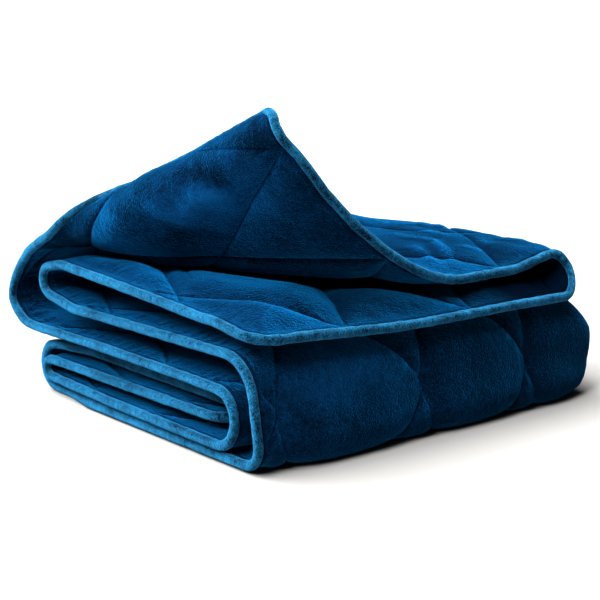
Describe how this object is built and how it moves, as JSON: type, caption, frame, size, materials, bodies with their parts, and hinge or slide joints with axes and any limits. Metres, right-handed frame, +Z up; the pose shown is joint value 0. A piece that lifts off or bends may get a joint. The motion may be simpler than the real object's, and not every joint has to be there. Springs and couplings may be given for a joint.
{
  "type": "weighted blanket",
  "caption": "Quilted plush weighted blanket folded into a thick stack, self-bound edges, one top corner turned up.",
  "frame": {"origin": "middle of the footprint box, on the surface the folded stack rests on", "axes": "+Z up; +X from the open bound edges at the left face towards the lengthwise fold; +Y from the rounded front towards the back loops"},
  "size_m": [0.6277, 0.5913, 0.408],
  "materials": {
    "plush": "short velvet pile, matt with a soft sheen",
    "plush_strip": "short velvet pile, matt with a soft sheen"
  },
  "bodies": {
    "root": {"quilt": "plush", "binding": "plush_strip"}
  },
  "joints": []
}
